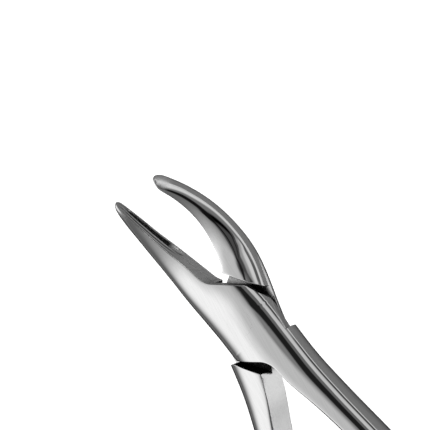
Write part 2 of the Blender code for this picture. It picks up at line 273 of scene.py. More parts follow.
BEAK_ROOT = root_outline(1, PLATE_BEAK_REACH, PLATE_BEAK_ANGLE, BEAK_ROOT_RADIUS, BEAK_LENGTH)
HANDLE_ROOT = root_outline(-1, PLATE_HANDLE_REACH, PLATE_HANDLE_ANGLE, HANDLE_ROOT_RADIUS, HANDLE_LENGTH)
PLATE_CORNER_Y = (PLATE_BEAK_REACH - PLATE_CORNER * math.sin(PLATE_BEAK_ANGLE)) / math.cos(PLATE_BEAK_ANGLE)


def handle_shoulder_x(y):
    reach = PLATE_HANDLE_REACH + SHOULDER_CLEARANCE
    return (reach + y * math.cos(PLATE_HANDLE_ANGLE)) / math.sin(PLATE_HANDLE_ANGLE)


def beak_shoulder_x(y):
    reach = PLATE_BEAK_REACH + SHOULDER_CLEARANCE
    return (y * math.cos(PLATE_BEAK_ANGLE) - reach) / math.sin(PLATE_BEAK_ANGLE)


SHOULDER_RUN = SHOULDER_CORNER * math.sin(PLATE_HANDLE_ANGLE) - PLATE_HANDLE_REACH - SHOULDER_CLEARANCE
SHOULDER_LEVEL = SHOULDER_RUN / math.cos(PLATE_HANDLE_ANGLE)


def right_edge(y):
    """Where the plate, the beak's inner face or the plate's outer side ends, in plan."""
    waist = JOINT_WIDTH / 2
    sides = np.interp(y, [SHOULDER_LEVEL, 0.0, PLATE_CORNER_Y],
                      [waist - PLATE_SIDE_INSET, waist, PLATE_CORNER])
    order = np.argsort(BEAK_ROOT[:, 1])
    roots = np.interp(y, BEAK_ROOT[order, 1], BEAK_ROOT[order, 0])
    return np.where(y > PLATE_CORNER_Y, roots, sides)


def left_edge(y):
    """Where the plate or the handle's inner face ends on the other side, in plan."""
    order = np.argsort(HANDLE_ROOT[:, 1])
    return np.interp(y, HANDLE_ROOT[order, 1], HANDLE_ROOT[order, 0])


# Rings of a half
def ring_stations():
    """Stations of the rings from the beak's tip to the handle's end, closer where the form is finer."""
    def run(start, end, step):
        return np.linspace(start, end, max(int(abs(end - start) / step), 1), endpoint=False)

    turn = np.linspace(0.05, math.pi / 2, 14)
    tip = BEAK_LENGTH - BEAK_TIP_ROUND * (1 - np.cos(turn))
    end = -HANDLE_LENGTH + HANDLE_END_ROUND * (1 - np.cos(turn))
    return np.concatenate([
        tip,
        run(tip[-1] - 0.3, JOINT_REACH, 0.32),
        run(JOINT_REACH, PLATE_CORNER_Y, 0.22),
        run(PLATE_CORNER_Y, SHOULDER_LEVEL, 0.30),
        [SHOULDER_LEVEL, SHOULDER_LEVEL],
        run(SHOULDER_LEVEL - 0.1, -JOINT_REACH, 0.22),
        run(-JOINT_REACH, -GRIP_START, 0.65),
        run(-GRIP_START, -GRIP_END, GRIP_PITCH / 8),
        run(-GRIP_END, end[-1], 0.6),
        end[::-1],
    ])


class Rings:
    """The section planes of a half: upright through the joint, square to the bend at the beak."""

    def __init__(self, layer):
        self.layer = layer
        self.station = ring_stations()
        level = np.flatnonzero(self.station == SHOULDER_LEVEL)
        self.has_handle_block = np.arange(len(self.station)) > level[0]
        self.centre = look_up(INNER, self.station)
        self.y = look_up(SPINE_Y, self.station)
        self.z = look_up(SPINE_Z, self.station)
        self.tilt = look_up(BENDS, self.station) * smoothstep((self.station - JOINT_REACH) / 9.5)
        self.tilt = np.where(self.station > 0, self.tilt, 0.0)
        self.width = half_width(self.station)
        self.thickness = half_thickness(self.station)
        self.lap = np.minimum(LAP, self.thickness * LAP_SHARE)

    def place(self, x, over):
        """Points in the frame of the closed half, from places in the section planes."""
        height = self.layer * over
        column = (slice(None),) + (None,) * (np.ndim(x) - 1)
        tilt = self.tilt[column]
        return x, self.y[column] - np.sin(tilt) * height, self.z[column] + np.cos(tilt) * height

    def outer(self, turn):
        """Points of the rounded outer surface at these turns about the section's centre."""
        column = (slice(None),) + (None,) * (np.ndim(turn) - 1)
        reach = np.abs(np.cos(turn)) ** SECTION_POWER + np.abs(np.sin(turn)) ** SECTION_POWER
        reach = reach ** (1 / SECTION_POWER)
        across = self.width[column] * np.cos(turn) / reach
        over = self.thickness[column] * np.sin(turn) / reach
        scale = np.ones_like(across)
        for _ in range(6):
            spot = self.place(self.centre[column] + scale * across, scale * over)
            scale = scale / fullness(*spot, BEAK_DRAFT[self.layer])
        return self.centre[column] + scale * across, scale * over

    def turn_at(self, x, low, high):
        """The turn between low and high at which the outer surface is at this x."""
        low = np.full(len(self.station), low, float)
        high = np.full(len(self.station), high, float)
        falling = self.outer(low)[0] > self.outer(high)[0]
        for _ in range(34):
            middle = (low + high) / 2
            past = (self.outer(middle)[0] > x) == falling
            low = np.where(past, middle, low)
            high = np.where(past, high, middle)
        return (low + high) / 2

    def lap_turn(self, low, high, rising):
        """The turn between low and high at which the outer surface passes the lap height."""
        low = np.full(len(self.station), low)
        high = np.full(len(self.station), high)
        for _ in range(30):
            middle = (low + high) / 2
            before = (self.outer(middle)[1] < self.lap) == rising
            low = np.where(before, middle, low)
            high = np.where(before, high, middle)
        return middle


COUNTS = {"lap": 12, "shoulder": 18, "under": 30, "face": 44, "wall": 30, "top": 48}
CORNER_SHARES = (0.25, 0.5, 0.75)
EDGE_SHARE = 0.3


def line(start, end, count, trim_start, trim_end):
    """Points between two places of each ring, kept back from the corners by a trim."""
    length = np.hypot(end[0] - start[0], end[1] - start[1])
    length = np.maximum(length, 1e-9)
    low = trim_start / length
    high = 1 - trim_end / length
    share = low[:, None] + (high - low)[:, None] * np.linspace(0, 1, count)
    return [start[axis][:, None] + (end[axis] - start[axis])[:, None] * share for axis in (0, 1)]


def sweep(rings, start, end, count, trim_start, trim_end):
    """Points of the outer surface between two turns of each ring, kept back by a trim."""
    def slow(turn, toward):
        step = 0.01 * np.sign(toward - turn)
        near = rings.outer(turn)
        far = rings.outer(turn + step)
        return step / np.maximum(np.hypot(far[0] - near[0], far[1] - near[1]), 1e-9)

    low = start + slow(start, end) * trim_start
    high = end + slow(end, start) * trim_end
    turn = low[:, None] + (high - low)[:, None] * np.linspace(0, 1, count)
    return list(rings.outer(turn))


def corner(before, at, after):
    """A rounded edge between the last points before a corner and the first points after it."""
    first = [axis[:, -1] for axis in before]
    last = [axis[:, 0] for axis in after]
    peak = pick(distance(first, last) < 1e-6, first, at)
    return [np.stack([(1 - t) ** 2 * first[axis] + 2 * t * (1 - t) * peak[axis] + t * t * last[axis]
                      for t in CORNER_SHARES], 1) for axis in (0, 1)]


def pick(condition, one, other):
    return [np.where(condition, one[axis], other[axis]) for axis in (0, 1)]


def distance(one, other):
    return np.hypot(one[0] - other[0], one[1] - other[1])


class FinishAndPaintedLight:
    """Marks of a half, for each ring or each point: joint recesses darkened as painted shade, satin faces,
    worn edges lightened partly as painted highlight, and painted shade lines along the handles' edges.
    """

    def __init__(self, rings, left, right, beak_block, lap_line, left_wall):
        station = rings.station
        handle_block = rings.has_handle_block
        in_joint = np.abs(station) < JOINT_REACH
        beak_shoulder = beak_shoulder_x(rings.y)
        at_beak = in_joint & (beak_shoulder < right - 0.05)
        at_handle = in_joint & (handle_shoulder_x(rings.y) > left + 0.05)
        # painted shade: near-black where the joint's recesses beside the shoulders lie in shadow
        self.handle_recess_shade = (at_handle & handle_block).astype(float)[:, None]
        self.beak_recess_shade = (at_beak & beak_block).astype(float)[:, None]
        # the painted shade of the recess runs on along the handle's root, farthest next to the lap plane
        slant = np.linspace(ROOT_SHADE_SLANT, 0, COUNTS["shoulder"])
        past_root = station[:, None] - ROOT_SHADE_END + slant
        self.root_recess_shade = handle_block[:, None] * smoothstep(past_root / 0.3)
        self.root_end = self.root_recess_shade[:, :1]
        self.wall_recess_shade = self.root_end * smoothstep((ROOT_SHADE_HEIGHT - left_wall[1]) / 0.15)
        # painted shade in the lap face's slot next to the beak's shoulder and near the outer side
        past_shoulder = (lap_line[0] - beak_shoulder[:, None]) * math.sin(PLATE_BEAK_ANGLE)
        near_shoulder = smoothstep((1.5 - past_shoulder) / 0.8)
        near_side = smoothstep((-lap_line[0] - 3.5) / 1.5)
        self.lap_recess_shade = np.maximum(near_shoulder, near_side) * (at_beak & ~handle_block)[:, None]
        self.satin = smoothstep((SATIN_END - station) / 5) * (station > 0)
        self.handle_satin = HANDLE_SATIN * (1 - smoothstep((station - HANDLE_SATIN_START) / 2))
        self.tip_satin = TIP_SATIN * smoothstep((station - TIP_SATIN_START) / 2)
        # worn edges lightened: partly wear, partly painted highlight
        self.wear_and_highlight = smoothstep((station - WEAR_HIGHLIGHT_START) / 3) * (1 - smoothstep((station - WEAR_HIGHLIGHT_END) / 4))
        # painted shade line along the handle's edges
        self.edge_shade_line = 1 - smoothstep((station - EDGE_SHADE_START) / 3)

    def face_satin(self, lip):
        """Satin of an inner face: at the beak's root, on the handle and on the lip lines."""
        return np.maximum((self.satin + self.handle_satin)[:, None], LIP_SATIN * lip)


def half_points(layer):
    """Points of one half, ring by ring, and the marks of its finish and its painted light.

    Each ring starts on the lap plane and runs round the section by way of the right side, the top and
    the left side. In the beak and in the handle a block fills the section beyond the lap plane. Where a
    ring lacks a face, that face's points all fall on one place and are merged later.
    """
    rings = Rings(layer)
    count = len(rings.station)
    lap = rings.lap
    lap_right = rings.lap_turn(0.0, math.pi / 2, True)
    lap_left = rings.lap_turn(math.pi / 2, math.pi, False)
    left_side = np.full(count, math.pi)

    in_beak = rings.station > PLATE_CORNER_Y
    past_beak_root = rings.station > JOINT_REACH
    past_handle_root = rings.station < -JOINT_REACH
    right = np.where(past_beak_root, rings.centre, right_edge(rings.y))
    left = np.where(past_handle_root, rings.centre, left_edge(rings.y))
    right = np.minimum(right, rings.outer(lap_right)[0])
    left = np.where(in_beak, -99.0, left)
    left = np.maximum(left, rings.outer(lap_left)[0])
    handle_block = rings.has_handle_block
    shoulder_left = np.minimum(beak_shoulder_x(rings.y), right)
    beak_block = in_beak & (shoulder_left > rings.outer(left_side)[0] + 0.02)
    shoulder_right = np.maximum(handle_shoulder_x(rings.y), left)
    shoulder_right = np.where(past_handle_root, rings.centre, shoulder_right)
    shoulder_left = np.where(past_beak_root, rings.centre, shoulder_left)

    top_right = rings.turn_at(right, 0.0, math.pi)
    first_block = np.flatnonzero(handle_block)[0]
    top_right = np.where(handle_block, top_right[first_block - 1], np.maximum(top_right, lap_right))
    top_left = rings.turn_at(left, 0.0, math.pi)
    top_left = np.where(beak_block, lap_left, np.minimum(top_left, lap_left))
    under_left = rings.turn_at(shoulder_left, math.pi, 2 * math.pi)
    under_right = rings.turn_at(shoulder_right, -math.pi, 0.0)

    # corners of the section
    lap_point_right = [right, lap]
    lap_point_left = [left, lap]
    v_right = pick(handle_block, [shoulder_right, lap], [np.minimum(right, SHOULDER_CORNER), lap])
    v_left = pick(beak_block, [shoulder_left, lap], lap_point_left)
    u_right = pick(handle_block, rings.outer(under_right), lap_point_right)
    u_left = pick(beak_block, rings.outer(under_left), lap_point_left)
    t_right = rings.outer(top_right)
    t_left = rings.outer(top_left)

    # room for rounding the edges
    wall_right = np.where(handle_block, 0.0, distance(lap_point_right, t_right))
    wall_left = np.where(beak_block, 0.0, distance(lap_point_left, t_left))
    edge = np.interp(rings.station, [-26, -15, 15, 22],
                     [HANDLE_EDGE_RADIUS, JOINT_EDGE_RADIUS, JOINT_EDGE_RADIUS, BEAK_EDGE_RADIUS])
    trim_right = np.minimum(edge, EDGE_SHARE * wall_right)
    trim_left = np.minimum(edge, EDGE_SHARE * wall_left)
    under_right_room = np.where(handle_block, distance(u_right, v_right), 0.0)
    under_left_room = np.where(beak_block, distance(u_left, v_left), 0.0)
    trim_under_right = np.minimum(edge, EDGE_SHARE * under_right_room)
    trim_under_left = np.minimum(edge, EDGE_SHARE * under_left_room)
    none = np.zeros(count)

    # faces of the section, in turn
    lap_line = line(v_left, v_right, COUNTS["lap"], none, none)
    right_shoulder = line(v_right, u_right, COUNTS["shoulder"], none, trim_under_right)
    right_under = pick(handle_block[:, None],
                       sweep(rings, under_right, none, COUNTS["under"], trim_under_right, none),
                       line(lap_point_right, lap_point_right, COUNTS["under"], none, none))
    right_wall = pick(handle_block[:, None],
                      sweep(rings, none, top_right, COUNTS["face"], none, none),
                      line(lap_point_right, t_right, COUNTS["face"], none, trim_right))
    top = sweep(rings, top_right, top_left, COUNTS["top"], trim_right, trim_left)
    for axis in top:
        axis[first_block] = axis[first_block - 1]
    left_wall = pick(beak_block[:, None],
                     sweep(rings, top_left, left_side, COUNTS["wall"], none, none),
                     line(t_left, lap_point_left, COUNTS["wall"], trim_left, none))
    left_under = pick(beak_block[:, None],
                      sweep(rings, left_side, under_left, COUNTS["under"], none, trim_under_left),
                      line(lap_point_left, lap_point_left, COUNTS["under"], none, none))
    left_shoulder = line(u_left, v_left, COUNTS["shoulder"], trim_under_left, none)

    # the spoon-shaped hollow of the beak's inner face
    hollow_shades = []
    lip_highlights = []
    for face in (lap_line, right_shoulder, right_under, right_wall, left_shoulder):
        # the hollow's painted shade and its lip lines' painted highlight come with its depth
        depth, hollow_shade, lip = hollow_depth(rings, face[1])
        face[0] = face[0] - np.where(beak_block[:, None], depth, 0.0)
        hollow_shades.append(np.where(beak_block[:, None], hollow_shade, 0.0))
        lip_highlights.append(np.where(beak_block[:, None], lip, 0.0))
    # the grip's cross-cut
    for skin in (right_under, right_wall, top):
        shrink = np.where(handle_block[:, None], grip_shrink(rings, skin), 1.0)
        skin[0] = rings.centre[:, None] + (skin[0] - rings.centre[:, None]) * shrink
        skin[1] = skin[1] * shrink

    finish_and_light = FinishAndPaintedLight(rings, left, right, beak_block, lap_line, left_wall)
    root_end = finish_and_light.root_end
    handle_satin = finish_and_light.handle_satin
    # painted shade marks: the hollow's far wall, the joint recesses and the handle's root
    lap_shade_mark = np.maximum(np.maximum(hollow_shades[0], finish_and_light.lap_recess_shade), root_end)
    right_shade_mark = np.maximum(np.maximum(hollow_shades[1], finish_and_light.handle_recess_shade), finish_and_light.root_recess_shade)
    left_shade_mark = np.maximum(np.maximum(hollow_shades[4], finish_and_light.beak_recess_shade), root_end)
    wall_satin = np.maximum((finish_and_light.satin * beak_block)[:, None], LIP_SATIN * lip_highlights[3])
    under_edge = corner(right_shoulder, u_right, right_under)
    # painted shade along the handle's under edge
    under_edge_shade = UNDER_EDGE_SHADE * finish_and_light.edge_shade_line * handle_block
    # points, then the marks: rough recess with painted shade, satin, and wear with painted highlight
    pieces = [
        (lap_line, lap_shade_mark, finish_and_light.face_satin(lip_highlights[0]), lip_highlights[0]),
        (right_shoulder, right_shade_mark, handle_satin, none),
        (under_edge, under_edge_shade, none, finish_and_light.wear_and_highlight * handle_block),
        (right_under, none, none, none),
        (right_wall, hollow_shades[3], wall_satin, lip_highlights[3]),
        (corner(right_wall, t_right, top), none, none, finish_and_light.wear_and_highlight * ~handle_block),
        (top, none, none, none),
        # painted shade along the handle's top left edge
        (corner(top, t_left, left_wall), finish_and_light.edge_shade_line * ~beak_block, none, finish_and_light.wear_and_highlight * ~beak_block),
        (left_wall, finish_and_light.wall_recess_shade, handle_satin, none),
        (left_under, root_end, handle_satin, none),
        (corner(left_under, u_left, left_shoulder), root_end, handle_satin, finish_and_light.wear_and_highlight * beak_block),
        (left_shoulder, left_shade_mark, finish_and_light.face_satin(lip_highlights[4]), lip_highlights[4]),
    ]
    x = np.concatenate([piece[0][0] for piece in pieces], 1)
    over = np.concatenate([piece[0][1] for piece in pieces], 1)
    marks = {}
    for column, mark in enumerate(("rough_and_painted_shade", "satin", "wear_and_highlight"), 1):
        marks[mark] = np.concatenate([spread(piece[column], piece[0]) for piece in pieces], 1)
    marks["satin"] = np.maximum(marks["satin"], finish_and_light.tip_satin[:, None])
    shift = BEAK_TIP_SHIFT * smoothstep((rings.station - 24) / 12)
    return np.stack(rings.place(x, over - shift[:, None]), 2), marks


def spread(mark, piece):
    """A mark for every point of a piece, from one for each ring or each point."""
    return np.broadcast_to(mark if mark.ndim == 2 else mark[:, None], piece[0].shape)


def hollow_depth(rings, over):
    """Depth of the spoon at places on a beak's inner face, the painted shade of its far wall and between
    its lip lines, and the painted highlight of its lip lines.
    """
    along = (BEAK_LENGTH - HOLLOW_RIM - rings.station) / HOLLOW_LENGTH
    swell = 1 - (2 * np.clip(along, 0, 1) ** HOLLOW_SKEW - 1) ** 2
    swell = np.sqrt(np.maximum(swell, 1e-6))[:, None]
    rise = rings.layer * over / np.maximum(rings.thickness, 0.2)[:, None]
    middle = (HOLLOW_TOP + HOLLOW_BOTTOM) / 2
    span = (HOLLOW_TOP - HOLLOW_BOTTOM) / 2 * swell ** 0.5
    reach = (rise - middle) / span
    bowl = np.maximum(1 - np.abs(reach) ** 3, 0) ** np.where(reach > 0, 1.5, 1.0)
    depth = HOLLOW_DEPTH * swell * bowl
    depth = depth * smoothstep(along / HOLLOW_EASE)[:, None]
    tip_end = (1 - smoothstep((along - 0.1) / 0.3))[:, None]
    root_end = smoothstep((along - 0.80) / 0.07)[:, None]
    ripple = RIPPLE_DEPTH * np.cos(2 * math.pi * depth / RIPPLE_STEP) * smoothstep(depth / 0.1) * root_end
    past = (rise - middle - span) * rings.thickness[:, None]
    wave = np.cos(2 * math.pi * (past - LIP_START) / LIP_STEP)
    lip = smoothstep((past + 0.1) / 0.15) * smoothstep((LIP_WIDTH - past) / 0.3)
    lip = lip * (smoothstep((along + 0.12) / 0.1) * smoothstep((1 - along) / 0.2))[:, None]
    # painted shade on the hollow's far wall, less at its root end, and between the lip lines
    hollow_shade = smoothstep((depth - HOLLOW_SHADE_DEPTH + 0.13 * tip_end) / 0.2)
    hollow_shade = hollow_shade * smoothstep((0.5 + 0.5 * tip_end - reach) / 0.5)
    hollow_shade = hollow_shade * (1 - 0.8 * root_end)
    hollow_shade = np.maximum(hollow_shade, LIP_SHADE * lip * smoothstep((-wave - 0.1) / 0.6))
    # painted highlight on the lip lines
    wear_and_highlight = lip * smoothstep((wave - 0.1) / 0.5)
    return depth + ripple - LIP_HEIGHT * wave * lip, hollow_shade, wear_and_highlight


def grip_shrink(rings, skin):
    """How the cross grooves draw the outer surface of a handle in towards its centre."""
    place = (-rings.station - GRIP_START) / GRIP_PITCH
    on_grip = (place > 0) & (place < (GRIP_END - GRIP_START) / GRIP_PITCH)
    groove = np.abs((place % 1.0) - 0.5) * 2
    groove = smoothstep((0.45 - groove) / 0.45) * on_grip
    across = (skin[0] - rings.centre[:, None]) / rings.width[:, None]
    fade = smoothstep((across - 0.12) / 0.25)
    radius = np.hypot(skin[0] - rings.centre[:, None], skin[1])
    return 1 - GRIP_DEPTH * groove[:, None] * fade / np.maximum(radius, 1e-6)


def half_mesh(name, side):
    """One half as a mesh in the closed frame, before the rear half is mirrored."""
    points, marks = half_points(side)
    rows, columns = points.shape[:2]
    flat = points.reshape(-1, 3).copy()
    flat[:, 2] = np.maximum(flat[:, 2], -HINGE_HEIGHT)
    index = np.arange(rows * columns).reshape(rows, columns)
    following = np.roll(index, -1, 1)
    quads = np.stack([index[:-1], following[:-1], following[1:], index[1:]], 2).reshape(-1, 4)
    shape = bmesh.new()
    mesh = bpy.data.meshes.new(name)
    faces = quads.tolist() + [index[0].tolist(), index[-1].tolist()]
    mesh.from_pydata(flat.tolist(), [], faces)
    for mark, values in marks.items():
        mesh.attributes.new(mark, "FLOAT", "POINT").data.foreach_set("value", values.ravel())
    shape.from_mesh(mesh)
    bmesh.ops.remove_doubles(shape, verts=shape.verts, dist=0.0005)
    bmesh.ops.recalc_face_normals(shape, faces=shape.faces)
    shape.to_mesh(mesh)
    shape.free()
    return mesh


def dome_height(x, y):
    """Height of the front half's rounded top over the lap plane."""
    low = np.full(np.shape(x), 2.0)
    high = np.full(np.shape(x), 6.0)
    for _ in range(40):
        middle = (low + high) / 2
        inside = fullness(x, y, middle) < 1
        low = np.where(inside, middle, low)
        high = np.where(inside, high, middle)
    return (low + high) / 2


HEAD_SLOPE = (RIVET_HEAD_RADIUS - RIVET_RADIUS) / RIVET_HEAD_DEPTH
HEAD_TOP = JOINT_THICKNESS / 2 - RIVET_HEAD_DEPTH
HEAD_BOTTOM = RIVET_HEAD_DEPTH - HINGE_HEIGHT
RIVET_TURNS = np.linspace(0, 2 * math.pi, 128, endpoint=False)


def turned_mesh(name, rings):
    """A closed mesh from rings of points, each an array of x, y and z, with its ends filled."""
    count = len(RIVET_TURNS)
    points = [point for ring in rings for point in np.stack(ring, 1).tolist()]
    faces = [list(range(count))[::-1], list(range(len(points) - count, len(points)))]
    for row in range(len(rings) - 1):
        for column in range(count):
            following = (column + 1) % count
            faces.append((row * count + column, row * count + following,
                          (row + 1) * count + following, (row + 1) * count + column))
    mesh = bpy.data.meshes.new(name)
    mesh.from_pydata(points, [], faces)
    return mesh


def circle(radius, height):
    height = np.broadcast_to(height, RIVET_TURNS.shape)
    return radius * np.cos(RIVET_TURNS), radius * np.sin(RIVET_TURNS), height


def rivet_mesh(name):
    """The pin with its two countersunk heads, ground to the dome above and to the flat below."""
    rim = np.full(RIVET_TURNS.shape, RIVET_HEAD_RADIUS)
    for _ in range(12):
        x, y, _ = circle(rim, 0.0)
        rim = RIVET_RADIUS + HEAD_SLOPE * (dome_height(x, y) - HEAD_TOP)
    rings = [
        circle(RIVET_HEAD_RADIUS, -HINGE_HEIGHT),
        circle(RIVET_RADIUS, HEAD_BOTTOM),
        circle(RIVET_RADIUS, HEAD_TOP),
    ]
    for share in (1.0, 0.9, 0.8, 0.65, 0.5, 0.35, 0.2, 0.05):
        x, y, _ = circle(rim * share, 0.0)
        rings.append((x, y, dome_height(x, y)))
    return turned_mesh(name, rings)


def bore_mesh(name):
    """The rivet's room in the halves, run out past both cheeks."""
    overrun = 1.0
    wide = RIVET_HEAD_RADIUS + HEAD_SLOPE * overrun
    return turned_mesh(name, [
        circle(wide + RIVET_GAP, -HINGE_HEIGHT - overrun),
        circle(RIVET_RADIUS + RIVET_GAP, HEAD_BOTTOM),
        circle(RIVET_RADIUS + RIVET_GAP, HEAD_TOP),
        circle(wide + RIVET_GAP, JOINT_THICKNESS / 2 + overrun),
    ])


def bored(mesh, cutter):
    """The mesh with the cutter taken out of it."""
    solid = bpy.data.objects.new("solid", mesh)
    tool = bpy.data.objects.new("tool", cutter)
    for one in (solid, tool):
        bpy.context.scene.collection.objects.link(one)
    cut = solid.modifiers.new("bore", "BOOLEAN")
    cut.operation = "DIFFERENCE"
    cut.solver = "EXACT"
    cut.object = tool
    view = bpy.context.evaluated_depsgraph_get()
    result = bpy.data.meshes.new_from_object(solid.evaluated_get(view))
    result.name = mesh.name + "_bored"
    for one in (solid, tool):
        bpy.data.objects.remove(one)
    return result


def to_world(mesh, side):
    """Mirrors a mesh for its side, turns it by half the opening and brings it to metres."""
    mirror = Matrix.Diagonal((side, 1, 1, 1))
    turn = Matrix.Rotation(side * HALF_OPENING, 4, "Z")
    mesh.transform(Matrix.Scale(MM, 4) @ Matrix.Translation((0, 0, HINGE_HEIGHT)) @ turn @ mirror)
    if side < 0:
        mesh.flip_normals()


# Steel
def node(tree, kind, **inputs):
    """Adds a node, sets its options and its input sockets, and links sockets given as values."""
    made = tree.nodes.new(kind)
    for key, value in inputs.pop("options", {}).items():
        setattr(made, key, value)
    for key, value in inputs.items():
        socket = made.inputs[int(key[1:]) if key[0] == "_" else key.replace("_", " ")]
        if isinstance(value, bpy.types.NodeSocket):
            tree.links.new(value, socket)
        else:
            socket.default_value = value
    return made


def math_node(tree, operation, one, other=0.0):
    return node(tree, "ShaderNodeMath", options={"operation": operation}, _0=one, _1=other).outputs[0]


def blend(tree, share, one, other):
    """One value, run over into the other by a share."""
    mixed = node(tree, "ShaderNodeMix", options={"data_type": "FLOAT"}, _0=share, _2=one, _3=other)
    return mixed.outputs[0]


# light colour of worn edges and lip lines: partly wear, partly painted highlight
WEAR_AND_HIGHLIGHT_SHADE = 0.94
WORN_ROUGHNESS = 0.10
RECESS_ROUGHNESS = 0.45


def steel(name, turn):
    """Polished stainless steel: lengthwise grain, handling haze, worn edges lightened partly as painted
    highlight, and rough joint recesses darkened as painted shade.
    """
    material = bpy.data.materials.new(name)
    material.use_nodes = True
    tree = material.node_tree
    shader = tree.nodes["Principled BSDF"]
    place = node(tree, "ShaderNodeTexCoord").outputs["Object"]
    along = node(tree, "ShaderNodeMapping", Vector=place, Rotation=(0, 0, turn), Scale=(3600, 150, 3600))
    grain = node(tree, "ShaderNodeTexNoise", Vector=along.outputs[0], Scale=1.0, Detail=3.0).outputs["Fac"]
    haze = node(tree, "ShaderNodeTexNoise", Vector=place, Scale=220.0, Detail=4.0).outputs["Fac"]
    fleck = node(tree, "ShaderNodeTexNoise", Vector=place, Scale=2600.0, Detail=2.0).outputs["Fac"]
    rough_and_painted_shade, wear_and_highlight, satin = (
        node(tree, "ShaderNodeAttribute", options={"attribute_name": mark}).outputs["Fac"]
        for mark in ("rough_and_painted_shade", "wear_and_highlight", "satin"))

    def ranged(value, low, high, low_to, high_to):
        return node(tree, "ShaderNodeMapRange", Value=value, From_Min=low, From_Max=high,
                    To_Min=low_to, To_Max=high_to).outputs[0]

    wear_and_highlight_share = math_node(tree, "MULTIPLY", wear_and_highlight, ranged(haze, 0.35, 0.6, 0.4, 1.0))
    shade = blend(tree, satin, ranged(grain, 0.3, 0.7, 0.56, 0.60), ranged(fleck, 0.3, 0.7, 0.68, 0.86))
    # worn edges and lip lines lightened: partly wear, partly painted highlight
    shade = blend(tree, wear_and_highlight_share, shade, WEAR_AND_HIGHLIGHT_SHADE)
    # near-black colour of the recesses, the hollow's far wall and the dark edge lines: painted shade
    shade = blend(tree, rough_and_painted_shade, shade, ranged(fleck, 0.55, 0.75, 0.02, 0.16))
    rough = blend(tree, wear_and_highlight_share, ranged(haze, 0.3, 0.7, 0.03, 0.055), WORN_ROUGHNESS)
    rough = blend(tree, satin, rough, ranged(haze, 0.3, 0.7, 0.30, 0.42))
    rough = blend(tree, rough_and_painted_shade, rough, RECESS_ROUGHNESS)
    polish = math_node(tree, "ADD", math_node(tree, "MULTIPLY", grain, 0.25), haze)
    bump = node(tree, "ShaderNodeBump", Strength=0.05, Distance=0.0001, Height=polish)
    tree.links.new(shade, shader.inputs["Base Color"])
    tree.links.new(rough, shader.inputs["Roughness"])
    tree.links.new(bump.outputs[0], shader.inputs["Normal"])
    shader.inputs["Metallic"].default_value = 1.0
    shader.inputs["Specular Tint"].default_value = (0.05, 0.05, 0.05, 1)
    return material


def smooth_dome(mesh):
    """Gives the ground dome about the rivet the same normals on both sides of the joint line."""
    points = np.empty(len(mesh.vertices) * 3)
    mesh.vertices.foreach_get("co", points)
    x, y, z = points.reshape(-1, 3).T
    near = np.flatnonzero((np.hypot(x, y) < 5.5) & (z > 2))
    near = near[np.abs(fullness(x[near], y[near], z[near]) - 1) < 0.002]
    spot = np.stack([x[near], y[near], z[near]])
    steps = 0.01 * np.eye(3)[:, :, None]
    slope = np.stack([fullness(*(spot + step)) - fullness(*(spot - step)) for step in steps], 1)
    normals = np.zeros((len(mesh.vertices), 3))
    normals[near] = slope / np.linalg.norm(slope, axis=1)[:, None]
    mesh.normals_split_custom_set_from_vertices(normals.tolist())


def show(mesh, side, part, body):
    """Places a finished mesh as the visible piece of a CAD node."""
    mesh.shade_smooth()
    mesh.set_sharp_from_angle(angle=math.radians(40))
    if body == "front":
        smooth_dome(mesh)
    to_world(mesh, side)
    mesh.materials.clear()
    mesh.materials.append(steel(part + "_steel", -side * HALF_OPENING))
    piece = bpy.data.objects.new(part + "_polished", mesh)
    bpy.context.scene.collection.objects.link(piece)
    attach(piece, body)
    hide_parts(part)


bore = bore_mesh("bore")
show(bored(half_mesh("front_half_raw", 1), bore), 1, "front_half", "front")
show(bored(half_mesh("rear_half_raw", -1), bore), -1, "rear_half", "rear")
show(rivet_mesh("pivot_rivet_turned"), 1, "pivot_rivet", "front")


# Studio
def soft_edge(tree, value, full, none):
    """1 where the value is below full, 0 above none, and smooth between."""
    return node(tree, "ShaderNodeMapRange", options={"interpolation_type": "SMOOTHSTEP"}, Value=value,
                From_Min=full, From_Max=none, To_Min=1.0, To_Max=0.0).outputs[0]


def panel(tree, below, direction, elevation, sheet):
    """Lays one soft-edged card of light or dark over the surroundings. Angles are in degrees."""
    rad = math.radians
    facing = rad(sheet["azimuth"])
    ahead = node(tree, "ShaderNodeVectorMath", options={"operation": "DOT_PRODUCT"},
                 _0=direction, _1=(math.cos(facing), math.sin(facing), 0))
    aside = node(tree, "ShaderNodeVectorMath", options={"operation": "DOT_PRODUCT"},
                 _0=direction, _1=(-math.sin(facing), math.cos(facing), 0))
    turn = math_node(tree, "ARCTAN2", aside.outputs["Value"], ahead.outputs["Value"])
    bottom, top = sheet["elevation"]
    if "lean" in sheet:
        rise = math_node(tree, "SUBTRACT", elevation, rad((bottom + top) / 2))
        turn = math_node(tree, "SUBTRACT", turn, math_node(tree, "MULTIPLY", rise, sheet["lean"]))
    width = sheet["half_width"]
    side = sheet["soft_sides"]
    soft_bottom, soft_top = sheet["soft_ends"]
    sides = soft_edge(tree, math_node(tree, "ABSOLUTE", turn), rad(width - side), rad(width + side))
    upper = soft_edge(tree, elevation, rad(top - soft_top), rad(top + soft_top))
    height = elevation
    if "slant" in sheet:
        height = math_node(tree, "SUBTRACT", elevation, math_node(tree, "MULTIPLY", turn, sheet["slant"]))
    lower = soft_edge(tree, height, rad(bottom + soft_bottom), rad(bottom - soft_bottom))
    mask = math_node(tree, "MULTIPLY", math_node(tree, "MULTIPLY", sides, upper), lower)
    return blend(tree, mask, below, sheet["level"])


def card(azimuth, half_width, soft_sides, elevation, soft_ends, level, **more):
    """A card by the direction it stands in, its half width, its lower and upper end, and its level."""
    return dict(azimuth=azimuth, half_width=half_width, soft_sides=soft_sides, elevation=elevation,
                soft_ends=soft_ends, level=level, **more)


